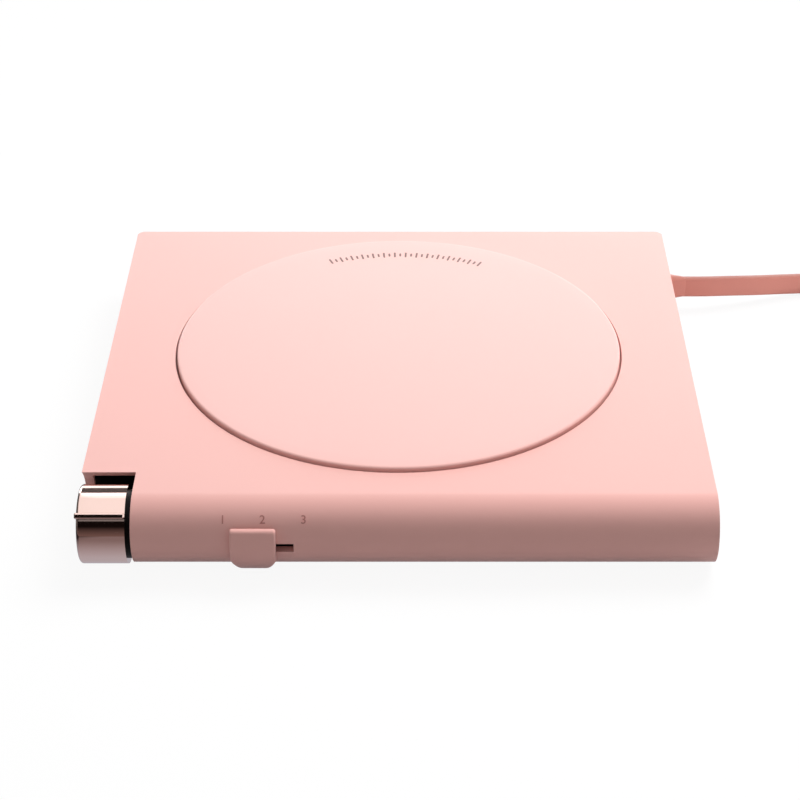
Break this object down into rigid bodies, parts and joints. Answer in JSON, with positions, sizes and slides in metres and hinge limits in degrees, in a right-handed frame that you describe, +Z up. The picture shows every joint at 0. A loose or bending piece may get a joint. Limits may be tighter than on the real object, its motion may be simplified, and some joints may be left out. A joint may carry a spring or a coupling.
{
  "type": "mug warmer",
  "caption": "Flat desktop mug warmer with a round heated plate, a heat slider, a rotary power knob and a flat cord with a plug.",
  "frame": {"origin": "on the table, under the middle of the object without its cord", "axes": "+X to the right along the front edge, +Y from the front edge to the back, +Z up"},
  "size_m": [0.2471, 0.1209, 0.016],
  "materials": {
    "shell": "soft-touch matte pink moulded plastic",
    "plate": "matte pink coating on aluminium",
    "cord": "satin salmon-pink flat cord jacket",
    "chrome": "warm mirror chrome plating",
    "black": "black moulded plastic",
    "foot": "black rubber pad",
    "steel": "zinc-plated steel",
    "nut": "plain brass",
    "gasket": "translucent silicone",
    "film": "amber heater film",
    "pad": "white glass-fibre felt",
    "board": "green solder mask",
    "sensor": "red-brown sensor bead",
    "white_wire": "white wire jacket",
    "red_black_wire": "red and black wire jackets",
    "capacitor": "dark sleeve on an aluminium can",
    "tongue": "white plug insulator",
    "gold": "gold-plated contacts"
  },
  "bodies": {
    "housing": {"top_shell": "shell", "base_cover": "shell", "foot_front_left": "foot", "foot_front_right": "foot", "foot_back_left": "foot", "foot_back_right": "foot", "cover_screws": "steel", "heating_plate": "plate", "plate_gasket": "gasket", "heater_film": "film", "insulation_pad": "pad", "clamp_plate": "steel", "clamp_screws": "steel", "thermal_cutoff": "black", "cutoff_clip": "steel", "thermistor": "sensor", "heater_leads": "white_wire", "cutoff_leads": "white_wire", "thermistor_leads": "black", "control_board": "board", "control_chip": "black", "power_transistor": "black", "filter_capacitor": "capacitor", "board_screws": "steel", "slide_switch": "steel", "rotary_switch": "steel", "switch_nut": "nut", "switch_wires": "white_wire", "knob_bracket": "black", "cord_grommet": "cord", "cord_inner": "cord", "cord_clamp": "black", "clamp_bar_screws": "steel", "power_wires": "red_black_wire", "cord_lead": "cord", "cord_coil": "cord", "cord_loop": "cord", "cord_tail": "cord", "plug_body": "cord", "plug_shell": "steel", "plug_tongue": "tongue", "plug_contacts": "gold"},
    "heat_slider": {"slider_knob": "shell", "slide_lever": "black"},
    "power_knob": {"knob_barrel": "chrome", "knob_core": "black", "switch_shaft": "steel"}
  },
  "joints": [
    {"name": "heat_slide", "type": "slide", "parent": "housing", "child": "heat_slider", "axis": [1, 0, 0], "range_m": [-0.0021, 0.0059]},
    {"name": "power_turn", "type": "hinge", "parent": "housing", "child": "power_knob", "pos_m": [-0.0554, -0.0481, 0.008], "axis": [1, 0, 0], "range_deg": [0, 90]}
  ]
}
